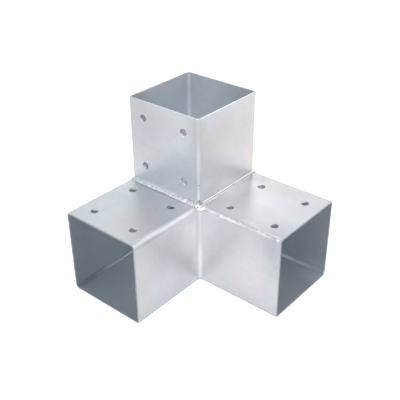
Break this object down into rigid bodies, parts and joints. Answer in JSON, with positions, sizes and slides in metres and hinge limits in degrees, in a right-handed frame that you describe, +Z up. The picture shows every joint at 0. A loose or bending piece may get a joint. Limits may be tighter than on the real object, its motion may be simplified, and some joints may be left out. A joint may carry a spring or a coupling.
{
  "type": "three-way post corner connector",
  "caption": "Corner connector of folded and welded galvanised sheet steel, with open square sleeves at right angles that take square timber posts and beams, and screw holes in the front faces.",
  "frame": {"origin": "underside of the bottom plate, on the axis of the upright sleeve", "axes": "+X out along the right sleeve, -Y out along the left sleeve, +Z up the upright sleeve"},
  "size_m": [0.214, 0.208, 0.208],
  "materials": {
    "galvanised_sheet": "bright hot-dip zinc with soft cloudy tones",
    "weld_bead": "zinc-coated weld, brighter than the sheet"
  },
  "bodies": {
    "root": {"main_folded_sheet": "galvanised_sheet", "side_folded_sheet": "galvanised_sheet", "right_top_plate": "galvanised_sheet", "left_back_edge_weld": "weld_bead", "upright_corner_weld": "weld_bead", "front_bottom_edge_weld": "weld_bead", "back_bottom_edge_weld": "weld_bead", "right_front_edge_weld": "weld_bead", "right_back_edge_weld": "weld_bead", "left_fillet_weld": "weld_bead", "right_fillet_weld": "weld_bead", "junction_weld": "weld_bead"}
  },
  "joints": []
}
